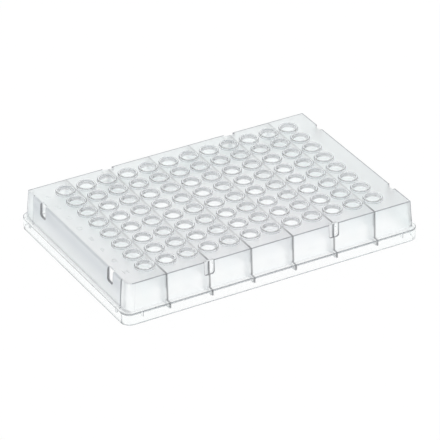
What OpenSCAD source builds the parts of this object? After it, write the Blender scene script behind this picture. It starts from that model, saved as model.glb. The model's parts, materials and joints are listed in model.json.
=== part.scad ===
// Well plate: one clear polypropylene moulding that holds small samples in a
// grid of conical wells. A flat deck carries the wells, a drafted skirt holds
// the deck up, and a flange round the foot of the skirt gives the standard
// footprint that racks, readers and robots grip.
//
// Origin at the centre of the footprint, on the plane the plate stands on.
// +X runs towards the last column, +Y towards row A, +Z up. Millimetres.

/* [Footprint] */
// Length of the flange along X
plate_l = 127.76; // [126:0.01:130]
// Width of the flange along Y
plate_w = 85.48; // [84:0.01:88]
// Height of the flange, from the bench to the top of its ledge
flange_h = 4.85; // [4:0.05:6]
// Thickness of the flange wall and of its ledge
flange_t = 1.2; // [1:0.1:1.6]
// Radius of the flange's outer corners
flange_r = 3.8; // [2.5:0.1:5]

/* [Skirt and deck] */
// Height of the deck's upper face
deck_z = 16.1; // [15.5:0.1:18]
// Thickness of the deck
deck_t = 0.8; // [0.7:0.05:1.2]
// Thickness of the skirt wall
skirt_t = 1.1; // [0.9:0.1:1.5]
// Length of the skirt where it meets the ledge
foot_l = 123.8; // [123:0.1:124.6]
// Width of the skirt where it meets the ledge
foot_w = 81.3; // [81:0.1:82.8]
// Draft of the short walls: how far each leans in over its height
draft_x = 0.8; // [0.4:0.1:1.2]
// Draft of the long walls: how far each leans in over its height
draft_y = 0.55; // [0.4:0.05:1.2]
// Radius of the marked corner, beside the last well of column 1
mark_r = 3.0; // [2:0.1:3.5]
// Distance each way from the middle of the short wall beside column 1 over
// which it is made as a raised pad
pad_y = 35.2; // [33:0.1:36]
// How far the pad stands out from the wall at the ledge
pad_low = 0.1; // [0.05:0.05:0.3]
// How far the pad stands out from the wall at the deck
pad_high = 0.4; // [0.3:0.05:0.6]
// Radius of the pad's upper edge
pad_r = 1.1; // [0.8:0.1:1.5]

/* [Wells] */
// Number of columns along X
columns = 12; // [10:1:12]
// Number of rows along Y
rows = 8; // [6:1:8]
// Spacing between wells both ways
pitch = 9; // [8.95:0.01:9.05]
// Inside diameter of the straight mouth
mouth_d = 5.6; // [5.3:0.05:5.6]
// Length of the straight mouth, from the top of the rim
mouth_h = 3.4; // [3:0.1:4]
// Lead-in chamfer at the mouth
lead_in = 0.4; // [0.2:0.05:0.45]
// Inside depth of a well, from the top of the rim
well_depth = 14.8; // [14:0.1:15]
// Inside radius of the round tip
tip_r = 1.2; // [1:0.05:1.4]
// Wall thickness of the wells
well_t = 0.45; // [0.4:0.05:0.5]
// Height of the raised rim above the deck
rim_h = 1.0; // [0.6:0.05:1.2]
// Outside diameter of the raised rim at the deck
rim_d = 7.8; // [7.4:0.1:8]
// Chamfer of the rim's outer upper edge
rim_c = 0.25; // [0.15:0.05:0.4]

/* [Ribs] */
// Thickness of the six long ribs
rib_t = 1.0; // [0.8:0.1:1.5]
// Spacing of the long ribs
rib_pitch = 18; // [17.9:0.01:18.1]
// Height of the rib's lower edge between the wells
rib_z = 8.2; // [7:0.1:10]
// Height at which the ribs stop inside the flange
rib_foot_z = 2.45; // [2:0.05:3]
// How far in from the skirt wall each rib runs down as a gusset
gusset_l = 4.9; // [4:0.1:5]
// Height of the gusset's inner corner
gusset_z = 3.5; // [3:0.1:6]
// How far in from the flange wall the gusset's lower edge runs level
gusset_foot = 5.1; // [4:0.1:5.5]
// Thickness of the small gussets in the flange corners
corner_gusset_t = 0.8; // [0.6:0.1:1]
// How far under the ledge the small gussets reach from the flange wall
corner_gusset_l = 1.4; // [1:0.1:2]
// How far the small gussets reach at their lower end
corner_gusset_foot = 0.2; // [0.1:0.1:0.4]

/* [Slots] */
// Width of the grip slots
slot_w = 4.2; // [3.6:0.1:4.8]
// Depth of the slots below the deck's upper face
slot_h = 5.7; // [5:0.1:6.4]
// How far the slots cut into the deck's edge
slot_in = 1.2; // [1.2:0.1:2]
// Radius of the slots' lower corners
slot_r = 1.0; // [0.6:0.1:1.4]
// Distance of the slots from the middle of each wall
slot_at = 27; // [26:0.5:28]

/* [Hidden] */
$fn = 48;
over = 5;                                   // how far a cut runs past its face
gap = 0.02;                                 // keeps faces off each other's planes
rim_z = deck_z + rim_h;
skirt_h = deck_z - flange_h;
lean_x = atan(draft_x / skirt_h);
lean_y = atan(draft_y / skirt_h);
pad_lean = atan((draft_x + pad_low - pad_high) / skirt_h);
deck_l = foot_l - 2 * draft_x;
deck_w = foot_w - 2 * draft_y;
mouth_r = mouth_d / 2;
tip_z = rim_z - well_depth;                 // lowest point inside a well
taper_top_z = rim_z - mouth_h;
taper_low_z = tip_z + tip_r;                // where the cone meets the round tip
corner_gusset_x = plate_l / 2 - 7.5;
corner_gusset_y = pad_y - 0.2;
tip_steps = 2;                              // straight steps round a well's tip

// Place children at every well centre
module at_wells() {
    for (c = [0 : columns - 1], r = [0 : rows - 1])
        translate([(c - (columns - 1) / 2) * pitch, ((rows - 1) / 2 - r) * pitch, 0])
            children();
}

// Rectangle with round corners, centred
module rounded_rect(l, w, r) {
    square([l - 2 * r, w], center = true);
    square([l, w - 2 * r], center = true);
    for (x = [-1, 1], y = [-1, 1])
        translate([x * (l / 2 - r), y * (w / 2 - r)]) circle(r);
}

// Section of the drafted skirt across one pair of walls, from the bench up.
// foot is the outside size at the ledge, drawn in by draft over skirt_h.
module draft_section(foot, draft, inset, top) {
    slope = draft / skirt_h;
    low = foot / 2 - inset + slope * flange_h;
    high = foot / 2 - inset - slope * (top - flange_h);
    polygon([[-low, 0], [low, 0], [high, top], [-high, top]]);
}

// What rounding the marked corner takes off a drafted block
module corner_waste(inset) {
    r = mark_r - inset;
    translate([-deck_l / 2 + mark_r, -deck_w / 2 + mark_r, deck_z])
        rotate([-lean_y, lean_x, 0])
            translate([0, 0, -deck_z - over])
                difference() {
                    rotate(225)
                        translate([r * cos(45) + gap, -r - over, 0])
                            cube([over, 2 * (r + over), deck_z + 2 * over]);
                    translate([0, 0, -1]) cylinder(r = r, h = deck_z + 2 * over + 2);
                }
}

// Pad on the short wall beside column 1; inset draws its face in
module pad(inset, top) {
    foot_x = -foot_l / 2 - pad_low + inset;
    back_x = -deck_l / 2 + 2 * skirt_t;
    rotate([90, 0, 0]) linear_extrude(2 * pad_y, center = true)
        polygon([
            [foot_x - flange_h * tan(pad_lean), 0],
            [foot_x + (top - flange_h) * tan(pad_lean), top],
            [back_x, top], [back_x, 0]]);
}

// Rounds the pad's upper edge, tangent to its face and to the deck
module pad_edge_waste() {
    low_z = deck_z - pad_r;
    face_x = -deck_l / 2 - pad_high - pad_r * tan(pad_lean);
    reach = pad_r + over;
    translate([face_x + pad_r / cos(pad_lean), 0, low_z]) rotate([90, 0, 0])
        linear_extrude(2 * pad_y, center = true) difference() {
            polygon([
                [0, 0], [-reach, reach * tan(pad_lean)], [-reach, reach], [0, reach]]);
            circle(pad_r);
        }
}

// Drafted block with the marked corner rounded; inset draws every wall in
module skirt_block(inset, top) {
    difference() {
        intersection() {
            rotate([90, 0, 0]) linear_extrude(plate_w, center = true)
                draft_section(foot_l, draft_x, inset, top);
            rotate([90, 0, 90]) linear_extrude(plate_l, center = true)
                draft_section(foot_w, draft_y, inset, top);
        }
        corner_waste(inset);
    }
}

// Outside of the moulding: flange, skirt and deck as one solid block
module outer_form() {
    linear_extrude(flange_h) rounded_rect(plate_l, plate_w, flange_r);
    difference() {
        union() {
            skirt_block(0, deck_z);
            pad(0, deck_z - gap);
        }
        pad_edge_waste();
    }
}

// The space under the deck and inside the flange
module underside() {
    translate([0, 0, -over]) linear_extrude(over + flange_h - flange_t)
        rounded_rect(plate_l - 2 * flange_t, plate_w - 2 * flange_t, flange_r - flange_t);
    skirt_block(skirt_t, deck_z - deck_t);
    pad(skirt_t, deck_z - deck_t - gap);
}

// Long rib under the deck, deepened to a gusset against each long wall
module rib() {
    wall_y = foot_w / 2 - skirt_t / 2;
    flange_y = plate_w / 2 - flange_t / 2;
    inner_y = wall_y - gusset_l;
    ledge_z = flange_h - flange_t / 2;
    top_z = deck_z - deck_t / 2;
    half = [
        [inner_y, rib_z], [inner_y, gusset_z], [flange_y - gusset_foot, rib_foot_z],
        [flange_y, rib_foot_z], [flange_y, ledge_z], [wall_y, ledge_z],
        [wall_y - draft_y, top_z]];
    rotate([90, 0, 90]) linear_extrude(rib_t, center = true)
        polygon(concat(half, [for (i = [len(half) - 1 : -1 : 0]) [-half[i][0], half[i][1]]]));
}

// Small gusset between the flange wall, at x = 0, and the ledge above it
module corner_gusset() {
    rotate([90, 0, 0]) linear_extrude(corner_gusset_t, center = true)
        polygon([
            [-flange_t / 2, rib_foot_z], [flange_t / 2 + corner_gusset_foot, rib_foot_z],
            [flange_t / 2 + corner_gusset_l, flange_h - flange_t / 2],
            [-flange_t / 2, flange_h - flange_t / 2]]);
}

module corner_gussets() {
    for (sx = [0, 1], sy = [0, 1])
        mirror([sx, 0, 0]) mirror([0, sy, 0]) {
            translate([-plate_l / 2 + flange_t / 2, -corner_gusset_y, 0]) corner_gusset();
            translate([-corner_gusset_x, -plate_w / 2 + flange_t / 2, 0])
                rotate(90) corner_gusset();
        }
}

// Outside of one well: raised rim, straight neck, cone and round tip
module well_wall() {
    neck_r = mouth_r + well_t;
    end_r = tip_r + well_t;
    rotate_extrude()
        polygon(concat(
            [[0, rim_z], [rim_d / 2 - rim_c, rim_z], [rim_d / 2, rim_z - rim_c],
             [rim_d / 2, deck_z - deck_t / 2], [neck_r, deck_z - deck_t / 2],
             [neck_r, taper_top_z]],
            [for (i = [0 : tip_steps])
                let (a = -90 * i / tip_steps)
                [i == tip_steps ? 0 : end_r * cos(a), taper_low_z + end_r * sin(a)]]));
}

// Inside of one well, open at the top
module well_bore() {
    rotate_extrude()
        polygon(concat(
            [[0, rim_z + over], [mouth_r + lead_in, rim_z + over],
             [mouth_r + lead_in, rim_z], [mouth_r, rim_z - lead_in],
             [mouth_r, taper_top_z]],
            [for (i = [0 : tip_steps])
                let (a = -90 * i / tip_steps)
                [i == tip_steps ? 0 : tip_r * cos(a), taper_low_z + tip_r * sin(a)]]));
}

// Slot through the edge of the deck and the wall below it; the deck's edge
// is at x = 0 and the slot runs inwards along +x
module slot() {
    rotate([90, 0, 90]) translate([0, 0, -over]) linear_extrude(over + slot_in) {
        translate([-slot_w / 2, deck_z - slot_h + slot_r])
            square([slot_w, slot_h - slot_r + over]);
        translate([-slot_w / 2 + slot_r, deck_z - slot_h])
            square([slot_w - 2 * slot_r, slot_h]);
        for (s = [-1, 1])
            translate([s * (slot_w / 2 - slot_r), deck_z - slot_h + slot_r]) circle(slot_r);
    }
}

module slots() {
    for (s = [-1, 1]) {
        translate([-deck_l / 2 - pad_high, s * slot_at, 0]) slot();
        translate([deck_l / 2, s * slot_at, 0]) rotate(180) slot();
        translate([s * slot_at, -deck_w / 2, 0]) rotate(90) slot();
        translate([s * slot_at, deck_w / 2, 0]) rotate(-90) slot();
    }
}

module well_plate() {
    color([0.88, 0.92, 0.94, 0.6])
        difference() {
            union() {
                difference() {
                    outer_form();
                    underside();
                    slots();
                }
                for (i = [-2.5 : 2.5]) translate([i * rib_pitch, 0, 0]) rib();
                corner_gussets();
                at_wells() well_wall();
            }
            at_wells() well_bore();
        }
}

well_plate();
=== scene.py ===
import json
import math

import bpy
import numpy as np
from mathutils import Matrix, Vector


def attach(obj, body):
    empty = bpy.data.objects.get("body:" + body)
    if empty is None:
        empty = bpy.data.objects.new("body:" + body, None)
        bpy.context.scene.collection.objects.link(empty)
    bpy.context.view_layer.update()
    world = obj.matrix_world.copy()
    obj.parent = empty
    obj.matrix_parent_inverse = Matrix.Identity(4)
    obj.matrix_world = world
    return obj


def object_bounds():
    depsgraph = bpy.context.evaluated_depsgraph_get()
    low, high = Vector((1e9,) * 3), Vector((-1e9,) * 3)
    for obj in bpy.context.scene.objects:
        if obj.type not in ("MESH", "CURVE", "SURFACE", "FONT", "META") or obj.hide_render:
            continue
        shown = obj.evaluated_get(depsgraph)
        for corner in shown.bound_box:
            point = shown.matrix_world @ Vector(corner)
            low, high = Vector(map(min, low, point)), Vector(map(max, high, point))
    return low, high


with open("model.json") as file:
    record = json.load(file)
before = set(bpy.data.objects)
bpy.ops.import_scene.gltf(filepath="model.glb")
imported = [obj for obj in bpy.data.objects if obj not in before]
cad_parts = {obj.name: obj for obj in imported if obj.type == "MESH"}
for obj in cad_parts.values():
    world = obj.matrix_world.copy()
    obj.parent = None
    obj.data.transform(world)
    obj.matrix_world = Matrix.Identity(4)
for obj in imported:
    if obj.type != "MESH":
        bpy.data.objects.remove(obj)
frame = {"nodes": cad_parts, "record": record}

cad_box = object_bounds()

# ---------------------------------------------------------------- camera
# A long lens looks down on the plate from over its marked corner, so the
# long wall faces the viewer and the rows of wells run away to the back.
turn, rise, tilt = math.radians(-29.634), math.radians(30.555), math.radians(-0.165)
aim = Vector((-0.008736, -0.016200, 0.0161))
distance, focal_length = 1.329225, 288.28
to_camera = Vector((math.sin(turn) * math.cos(rise), -math.cos(turn) * math.cos(rise),
                    math.sin(rise)))
scene = bpy.context.scene
lens = bpy.data.cameras.new("camera")
lens.lens = focal_length
lens.sensor_width = 36
lens.clip_end = 50
camera = bpy.data.objects.new("camera", lens)
scene.collection.objects.link(camera)
camera.matrix_world = (Matrix.Translation(aim + to_camera * distance)
                       @ to_camera.to_track_quat("Z", "Y").to_matrix().to_4x4()
                       @ Matrix.Rotation(tilt, 4, "Z"))
scene.camera = camera

# ---------------------------------------------------------------- moulding
# The plate is one injection moulding in clear polypropylene. Its deck and
# skirt come off a satin tool; the wells and their rims are polished, so the
# samples can be seen and film seals to them.
flange_x, flange_y, rim_top = cad_box[1]        # half the footprint, and the height
wells = {mount["name"]: mount["dims"] for mount in frame["record"]["mounts"]}["corner_wells"]
span_x, span_y = wells["spacing_x_mm"] / 1000, wells["spacing_y_mm"] / 1000
columns, rows = 12, "ABCDEFGH"
pitch = span_x / (columns - 1)                  # between wells, both ways
grid_x, grid_y = (span_x + pitch) / 2, (span_y + pitch) / 2     # half the block of wells
rim_r, rim_high, rim_chamfer = 0.0039, 0.001, 0.00025
deck_z, deck_thick = rim_top - rim_high, 0.0008
mouth_r, mouth_edge = wells["hole_r_mm"] / 1000, 0.00042        # bore and its lead-in
mouth_low = deck_z - 0.0004             # the foot of the painted shade in the mouths
polished_r = 0.003                      # wells are polished out to here at every height
rib_pitch, rib_half, rib_end, rib_foot = 2 * pitch, 0.0005, 0.046, 0.00245
slot_at, slot_half, slot_low, slot_r = 0.027, 0.0021, deck_z - 0.0057, 0.001
slot_deep, slot_tick = 0.0012, 0.0015   # into the deck, and its dark tick's height
flange_r, flange_top = 0.0038, 0.00485
flange_skin = 0.0014                    # what lies this near the flange's face is clear
skirt_x, skirt_y = 0.0605, 0.0395       # everything beyond is skirt wall
deck_x, deck_y = 0.0611, 0.0401         # half the deck's size at its upper face
lean_x, lean_y = 0.0711, 0.0489         # how far the walls lean out for each unit down
pad_end, mark_r = 0.0352, 0.003         # half the pad's length; the marked corner
tick_x, tick_y = flange_x - 0.0075, pad_end - 0.0002    # small gussets by the corners
pad_x = -0.0600                         # everything to its left is the pad's wall
line = 0.00015                          # half the width of a painted line of shade
hair = 0.00005                          # takes a mask just past the face it ends at

frosted, satin, clear_foot, polished = 0.38, 0.30, 0.12, 0.04    # roughness
uneven = 0.04                           # how much that roughness wanders
grain_scale, grain_depth, grain_strength = 1400, 0.00002, 0.12
flow_scale = 22                         # broad marks left as the plastic flowed
frost_and_shade_slant = 0.25                      # the frosted zone, and the shade painted with it, thin out backwards and to the right

# where a soft mask starts and where it is full; those of flow are noise values,
# far is a share of the way from the middle, and the others are places
flow_span, far_span, far_flow = (0.35, 0.65), (0.45, 1.1), 0.4
frost_and_shade_span, far_deck_span = (-0.040, 0.030), (-0.038, -0.030)
high_span, pad_high_span = (0.010, 0.018), (0.004, 0.012)
rib_span = 1.5 * line, 1.2 * rib_half   # outwards from the middle of a rib

resin = (0.990, 0.999, 1.000, 1)
reflection_green = (0.972, 1.000, 0.998, 1)  # painted reflection: greener towards both ends and the back
resin_grey = (0.991, 0.996, 1.000, 1)   # in the flow marks
resin_blue = (0.970, 0.996, 1.000, 1)   # the skirt
painted_deck_shade = (0.88, 0.875, 0.89, 1)      # painted shade on the deck, darkest at the front, where it is also most frosted
painted_wall_shade = (0.70, 0.73, 0.76, 1)      # painted shade high on the skirt, near the deck
painted_soft_shade = (0.68, 0.69, 0.71, 1)      # painted shade where a little more plastic lies behind
painted_edge_shade = (0.26, 0.27, 0.29, 1)      # painted shade along edges
painted_dark_shade = (0.12, 0.12, 0.13, 1)      # painted shade: ribs seen end on, and cut edges

# how strongly some of the painted shades show, from 0 to 1
foot_shows, chamfer_shows, mouth_shows, high_shows = 0.4, 0.66, 0.9, 0.6
rib_on_wall, rib_on_far_deck = 0.93, 0.45
rib_side, rib_side_in_grid = 0.45, 0.15


class Wire:
    """A socket in a material, or a number. Plus, minus, times and divide
    between wires and numbers add the Math nodes that work them out."""

    def __init__(self, tree, socket=None):
        self.tree, self.socket = tree, socket

    def node(self, kind, settings=(), values=(), out=0):
        """Add a node of this kind, set it up, then fill its sockets, by name
        or place, with numbers, colours or wires. Gives one of its outputs."""
        made = self.tree.nodes.new(kind)
        for name, value in dict(settings).items():
            setattr(made, name, value)
        for name, value in dict(values).items():
            if isinstance(value, Wire):
                self.tree.links.new(value.socket, made.inputs[name])
            else:
                made.inputs[name].default_value = value
        return Wire(self.tree, made.outputs[out]) if len(made.outputs) else made

    def maths(self, operation, *others, clamp=False, last=False):
        """A Math node on this wire and others; last puts this wire last."""
        values = (*others, self) if last else (self, *others)
        return self.node("ShaderNodeMath", {"operation": operation, "use_clamp": clamp},
                         dict(enumerate(values)))

    def __add__(self, other):
        return self.maths("ADD", other)

    def __radd__(self, other):
        return self.maths("ADD", other)

    def __sub__(self, other):
        return self.maths("SUBTRACT", other)

    def __rsub__(self, other):
        return self.maths("SUBTRACT", other, last=True)

    def __mul__(self, other):
        return self.maths("MULTIPLY", other)

    def __rmul__(self, other):
        return self.maths("MULTIPLY", other)

    def __truediv__(self, other):
        return self.maths("DIVIDE", other)

    def __rtruediv__(self, other):
        return self.maths("DIVIDE", other, last=True)

    def __lt__(self, other):
        return self.maths("LESS_THAN", other)

    def __gt__(self, other):
        return self.maths("GREATER_THAN", other)

    def __abs__(self):
        return self.maths("ABSOLUTE")

    def root(self):
        """Square root."""
        return self.maths("SQRT")

    def either(self, other):
        """The greater of the two, which joins two masks."""
        return self.maths("MAXIMUM", other)

    def step(self, start, end):
        """0 before start, 1 after end, and an even ramp between them."""
        return (self - start).maths("DIVIDE", end - start, clamp=True)

    def from_middle(self, size):
        """Distance from the middle of the nearest of the equal steps, of this
        size, that the axis is divided into from its origin."""
        return abs((self / size + 100).maths("FRACT") - 0.5) * size

    def dot(self, other):
        """Dot product of two vectors."""
        return self.node("ShaderNodeVectorMath", {"operation": "DOT_PRODUCT"},
                         {0: self, 1: other}, out="Value")

    def split(self):
        """The three numbers of a vector."""
        parts = self.node("ShaderNodeSeparateXYZ", values={0: self}).socket.node
        return [Wire(self.tree, socket) for socket in parts.outputs]

    def mixed(self, first, second):
        """first where this wire is 0, second where it is 1. Places 6 and 7 are
        the node's two colours, and its output 2 is their mix."""
        return self.node("ShaderNodeMix", {"data_type": "RGBA"},
                         {"Factor": self, 6: first, 7: second}, out=2)


def new_material(name):
    """An empty material, and a wire that nodes can be added from."""
    material = bpy.data.materials.new(name)
    material.use_nodes = True
    material.node_tree.nodes.clear()
    return material, Wire(material.node_tree)


def beyond(u, v, radius):
    """Distance outwards from a corner of this radius, whose centre is where
    u and v are both 0; negative inside it."""
    u, v = u.either(0), v.either(0)
    return (u * u + v * v).root() - radius


clear, shader = new_material("clear_polypropylene")
place = shader.node("ShaderNodeTexCoord", out="Object")
x, y, z = place.split()
grain = shader.node("ShaderNodeTexNoise",
                    values={"Vector": place, "Scale": grain_scale, "Detail": 3})
flow = shader.node("ShaderNodeTexNoise",
                   values={"Vector": place, "Scale": flow_scale, "Detail": 2})

# zones: wells and rims, the deck's upper face, the flange and its face, the skirt
dx, dy = x.from_middle(pitch), y.from_middle(pitch)
from_well = (dx * dx + dy * dy).root()
in_grid = (abs(x) < grid_x) * (abs(y) < grid_y)
on_rim = (from_well < rim_r + hair) * (z > deck_z - 4 * hair) * in_grid
polish = on_rim.either((from_well < polished_r) * in_grid)
on_top = (z > deck_z - hair) * (1 - polish)
from_side = beyond(abs(x) - (flange_x - flange_r), abs(y) - (flange_y - flange_r), flange_r)
flange = from_side > -flange_skin
face = flange * (from_side > -2 * line)
skirt = (1 - flange) * (abs(x) > skirt_x).either(abs(y) > skirt_y)
# the deck's frosted zone, which also carries painted shade: full at the front, gone at the
# back
frost_and_shade = on_top * (1 - (y + x * frost_and_shade_slant).step(*frost_and_shade_span))

roughness = frost_and_shade * (frosted - satin) + polish * (polished - satin) + satin
roughness = roughness + flange * (clear_foot - satin)
roughness = roughness + (1 - polish) * (flow - 0.5) * uneven
bump = shader.node("ShaderNodeBump", values={
    "Strength": grain_strength, "Distance": grain_depth, "Height": grain * (1 - polish)})

# painted shade on the cut faces of the grip slots, with a tick at one end of those in the
# far walls
past_floor = slot_low + slot_r - z
past_side_x = abs(abs(x) - slot_at) - (slot_half - slot_r)
past_side_y = abs(abs(y) - slot_at) - (slot_half - slot_r)
cut_x = abs(beyond(past_side_x, past_floor, slot_r)) < line
cut_y = abs(beyond(past_side_y, past_floor, slot_r)) < line
slots = (cut_x * (abs(y) > deck_y - 2 * line)).either(cut_y * (abs(x) > deck_x - 4 * hair))
end_x = (abs(abs(x - slot_half) - slot_at) < 2 * line) * (y > deck_y - slot_deep)
end_y = (abs(abs(y + slot_half) - slot_at) < 2 * line) * (x > deck_x - slot_deep)
slots = slots.either((z > deck_z - slot_tick) * end_x.either(end_y))

# painted shade along the six ribs, seen end on through the deck and the long walls
ribs = (1 - x.from_middle(rib_pitch).step(*rib_span)) * (abs(x) < rib_end)
ribs = ribs * (z > rib_foot) * (1 - on_rim)
ribs = ribs * (z > deck_z - 4 * hair).either(abs(y) > skirt_y)
far_deck = y.step(*far_deck_span) * on_top
ribs = ribs * (1 - far_deck * (1 - rib_on_far_deck))
ribs = ribs * (rib_on_wall + on_top * (1 - rib_on_wall))
# painted soft shade on the ribs' sides under the deck, fainter among the wells
rib_sides = (abs(x.from_middle(rib_pitch) - rib_half) < line / 2) * (abs(x) < rib_end)
rib_sides = rib_sides * (z < deck_z - deck_thick) * (abs(y) < skirt_y)
rib_sides = rib_sides * (rib_side - in_grid * (rib_side - rib_side_in_grid))

# painted shade along the edges of the flange, of the deck, of the pad and of the marked
# corner
ledge = face * (z > flange_top - 2 * line) * (abs(y) > flange_y - flange_r)
base = face * (z < 2 * line)
ticks = (abs(abs(x) - tick_x) < line).either(abs(abs(y) - tick_y) < line)
ticks = ticks * face * (z > rib_foot)
foot = skirt * (z < flange_top + line) * (x < -skirt_x) * foot_shows
corner_x, corner_y = deck_x + (deck_z - z) * lean_x, deck_y + (deck_z - z) * lean_y
near_x, near_y = abs(x) > corner_x - 2 * line, abs(y) > corner_y - 2 * line
far_edge = (x > corner_x - 3 * line).either(y > corner_y - 3 * line)
deck_edge = skirt * (z > deck_z - 2 * line) * far_edge.either(near_y)
deck_edge = deck_edge.either(skirt * near_x * near_y * (abs(x) < corner_x + line))
mark = (abs(x + corner_x - mark_r) < line / 2) * (y < 0) * near_y
mark = mark.either((abs(y + corner_y - mark_r) < line) * (x < 0) * near_x) * skirt
pad_side = (abs(abs(y) - pad_end) < 1.5 * line) * (x < 2 * line - deck_x) * skirt

# painted shade on the rims and in the mouths of the wells
chamfer = on_rim * (from_well > rim_r - rim_chamfer - 2 * hair)
chamfer = chamfer * (z > rim_top - rim_chamfer - 2 * hair) * chamfer_shows
rim_foot = (from_well > rim_r - 2 * hair) * (from_well < rim_r + line) * in_grid
rim_foot = rim_foot * (z < deck_z + 2 * line) * (z > deck_z - 2 * hair)
mouth = (from_well < mouth_r + mouth_edge) * (z > mouth_low) * in_grid * mouth_shows

# the tint, with its painted shade and painted reflection, from the broadest to the darkest
tint = flow.step(*flow_span).mixed(resin, resin_grey)
# painted reflection: a green tint towards both ends and the back, uneven with the flow marks
far = (abs(x) / flange_x).either(y / flange_y) * (flow + far_flow)
tint = far.step(*far_span).mixed(tint, reflection_green)
tint = skirt.mixed(tint, resin_blue)
# painted shade on the deck, darker towards the front
tint = frost_and_shade.mixed(tint, painted_deck_shade)
# painted shade high on the skirt, reaching lower on the pad's wall
pad_high = z.step(*pad_high_span) * (x < pad_x) * (abs(y) < pad_end)
high = (z.step(*high_span) * high_shows).either(pad_high)
tint = (high * skirt * (1 - on_top)).mixed(tint, painted_wall_shade)
# painted soft shade at the rims' feet, in the mouths, along the flange's base, at the marked
# corner and on the ribs' sides
soft = rim_foot.either(mouth).either(base).either(mark).either(rib_sides)
tint = soft.mixed(tint, painted_soft_shade)
# painted shade along edges
lines = ledge.either(deck_edge).either(pad_side).either(foot).either(ticks)
tint = lines.mixed(tint, painted_edge_shade)
# painted dark shade along the ribs, the slots' cut faces and the rims' chamfers
tint = ribs.either(slots).either(chamfer).mixed(tint, painted_dark_shade)

surface = shader.node("ShaderNodeBsdfPrincipled", values={
    "Base Color": tint, "Roughness": roughness, "Normal": bump,
    "IOR": 1.49, "Transmission Weight": 1.0})   # polypropylene bends light this much
shader.node("ShaderNodeOutputMaterial", values={"Surface": surface})

plate = frame["nodes"]["well_plate"]
plate.data.materials.clear()
plate.data.materials.append(clear)

# ---------------------------------------------------------------- row letters
# Small letters A to H stand up beside the first column, one to a row. They
# are part of the same moulding and the same clear plastic.
letter_x, letter_high, letter_proud, letter_sunk = -0.0574, 0.0024, 0.00015, 0.00005
capital_share = 0.7         # of the lettering's size that a capital's height takes


def letter_mesh(character):
    """Corners and faces of one flat letter, given thickness both ways from
    its middle plane, as arrays."""
    curve = bpy.data.curves.new("letter", "FONT")
    curve.body = character
    curve.size = letter_high / capital_share
    curve.extrude = (letter_proud + letter_sunk) / 2
    curve.resolution_u = 3
    curve.align_x, curve.align_y = "CENTER", "CENTER"
    solid = bpy.data.objects.new("letter", curve)
    mesh = bpy.data.meshes.new_from_object(solid)
    points = np.empty(len(mesh.vertices) * 3)
    mesh.vertices.foreach_get("co", points)
    faces = [tuple(face.vertices) for face in mesh.polygons]
    bpy.data.objects.remove(solid)
    bpy.data.curves.remove(curve)
    bpy.data.meshes.remove(mesh)
    return points.reshape(-1, 3), faces


all_points, all_faces, count = [], [], 0
for i, character in enumerate(rows):
    points, faces = letter_mesh(character)
    steps_up = (len(rows) - 1) / 2 - i
    points += (letter_x, steps_up * pitch, deck_z + (letter_proud - letter_sunk) / 2)
    all_points.append(points)
    all_faces += [tuple(v + count for v in face) for face in faces]
    count += len(points)
letters_mesh = bpy.data.meshes.new("row_letters")
letters_mesh.from_pydata(np.vstack(all_points).tolist(), [], all_faces)
letters_mesh.materials.append(clear)
letters = bpy.data.objects.new("row_letters", letters_mesh)
scene.collection.objects.link(letters)
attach(letters, "root")

# ---------------------------------------------------------------- stage
# A white sheet under the plate, in an evenly white room. One dark card stands
# behind it on the left, as clear things are lit, and only the plastic shows it.
sheet_size, sheet_drop = 8.0, 0.0002
sheet_white = 0.9
backdrop_white = 1.0        # what the camera sees of the sheet
backdrop_spare = 0.02       # keeps it white under a little noise
shaded_share = 0.08         # of the sheet's light that a shadow takes away
card_turn, card_rise = math.radians(-43), math.radians(16)  # from straight ahead
card_size, card_fade = math.radians(24), 0.4    # half its width, and the share that fades
card_depth = 0.95                               # how dark it is


def seen_by(start, *rays):
    """1 for a ray of any of these kinds, named as in the Light Path node."""
    kinds = start.node("ShaderNodeLightPath").socket.node.outputs
    found = Wire(start.tree, kinds[rays[0]])
    for ray in rays[1:]:
        found = found.either(Wire(start.tree, kinds[ray]))
    return found


half = sheet_size / 2
floor_mesh = bpy.data.meshes.new("floor")
floor_mesh.from_pydata([(-half, -half, -sheet_drop), (half, -half, -sheet_drop),
                        (half, half, -sheet_drop), (-half, half, -sheet_drop)],
                       [], [(0, 1, 2, 3)])
floor = bpy.data.objects.new("floor", floor_mesh)
scene.collection.objects.link(floor)

paper, shader = new_material("white_sheet")
seen = seen_by(shader, "Is Camera Ray", "Is Glossy Ray", "Is Transmission Ray")
matt = shader.node("ShaderNodeBsdfDiffuse",
                   values={"Color": (sheet_white, sheet_white, sheet_white, 1)})
lit = (backdrop_white - sheet_white * shaded_share) / (1 - shaded_share) + backdrop_spare
glow = shader.node("ShaderNodeEmission", values={"Strength": lit})
backlit = shader.node("ShaderNodeMixShader", values={0: shaded_share, 1: glow, 2: matt})
shader.node("ShaderNodeOutputMaterial", values={
    "Surface": shader.node("ShaderNodeMixShader", values={0: seen, 1: matt, 2: backlit})})
floor_mesh.materials.append(paper)

world = bpy.data.worlds.new("studio")
scene.world = world
world.use_nodes = True
world.node_tree.nodes.clear()
sky = Wire(world.node_tree)
bearing = turn - card_turn
card_at = (-math.sin(bearing) * math.cos(card_rise), math.cos(bearing) * math.cos(card_rise),
           math.sin(card_rise))
card_edge = math.cos(card_size * (1 + card_fade)), math.cos(card_size * (1 - card_fade))
card = sky.node("ShaderNodeTexCoord").dot(card_at).step(*card_edge) * card_depth
by_plastic = seen_by(sky, "Is Glossy Ray", "Is Transmission Ray")
sky.node("ShaderNodeOutputWorld", values={
    "Surface": sky.node("ShaderNodeBackground", values={"Strength": 1 - by_plastic * card})})

# light crosses many walls of the clear wells, so it needs many bounces
bounces = 64
scene.view_settings.view_transform = "Standard"
scene.cycles.max_bounces = bounces
scene.cycles.transmission_bounces = bounces
scene.cycles.glossy_bounces = bounces
scene.cycles.sample_clamp_indirect = 0
scene.cycles.blur_glossy = 0
